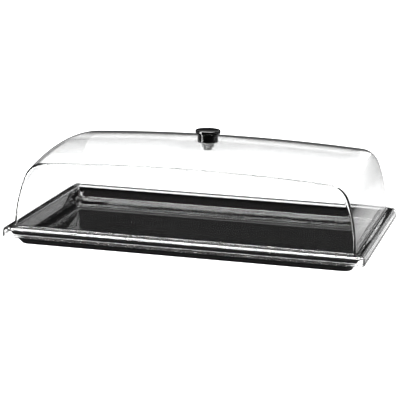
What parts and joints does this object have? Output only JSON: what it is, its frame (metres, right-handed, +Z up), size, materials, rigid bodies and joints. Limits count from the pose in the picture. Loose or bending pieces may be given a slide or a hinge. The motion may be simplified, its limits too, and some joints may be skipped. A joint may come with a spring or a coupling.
{
  "type": "humidity dome tray",
  "caption": "Shallow black tray under a clear arched dome with a turned-down lip and a screwed-on knob; the dome lifts straight off.",
  "frame": {"origin": "middle of the tray's foot ring, on the surface that the tray stands on", "axes": "+Z up, X along the tray's length, Y across its width, with the front face of the dome at -Y"},
  "size_m": [0.53, 0.325, 0.1598],
  "materials": {
    "tray": "gloss black moulding",
    "dome": "clear polished moulding",
    "knob": "gloss black moulding",
    "insert": "machined",
    "gasket": "natural silicone, soft matt",
    "fastener": "natural nylon moulding"
  },
  "bodies": {
    "base": {"tray": "tray"},
    "cover": {"dome": "dome", "knob": "knob", "threaded_insert": "insert", "knob_gasket": "gasket", "sealing_washer": "gasket", "flat_washer": "fastener", "knob_screw": "fastener"}
  },
  "joints": [
    {"name": "dome_lift", "type": "slide", "parent": "base", "child": "cover", "axis": [0, 0, 1], "range_m": [0, 0.16]}
  ]
}
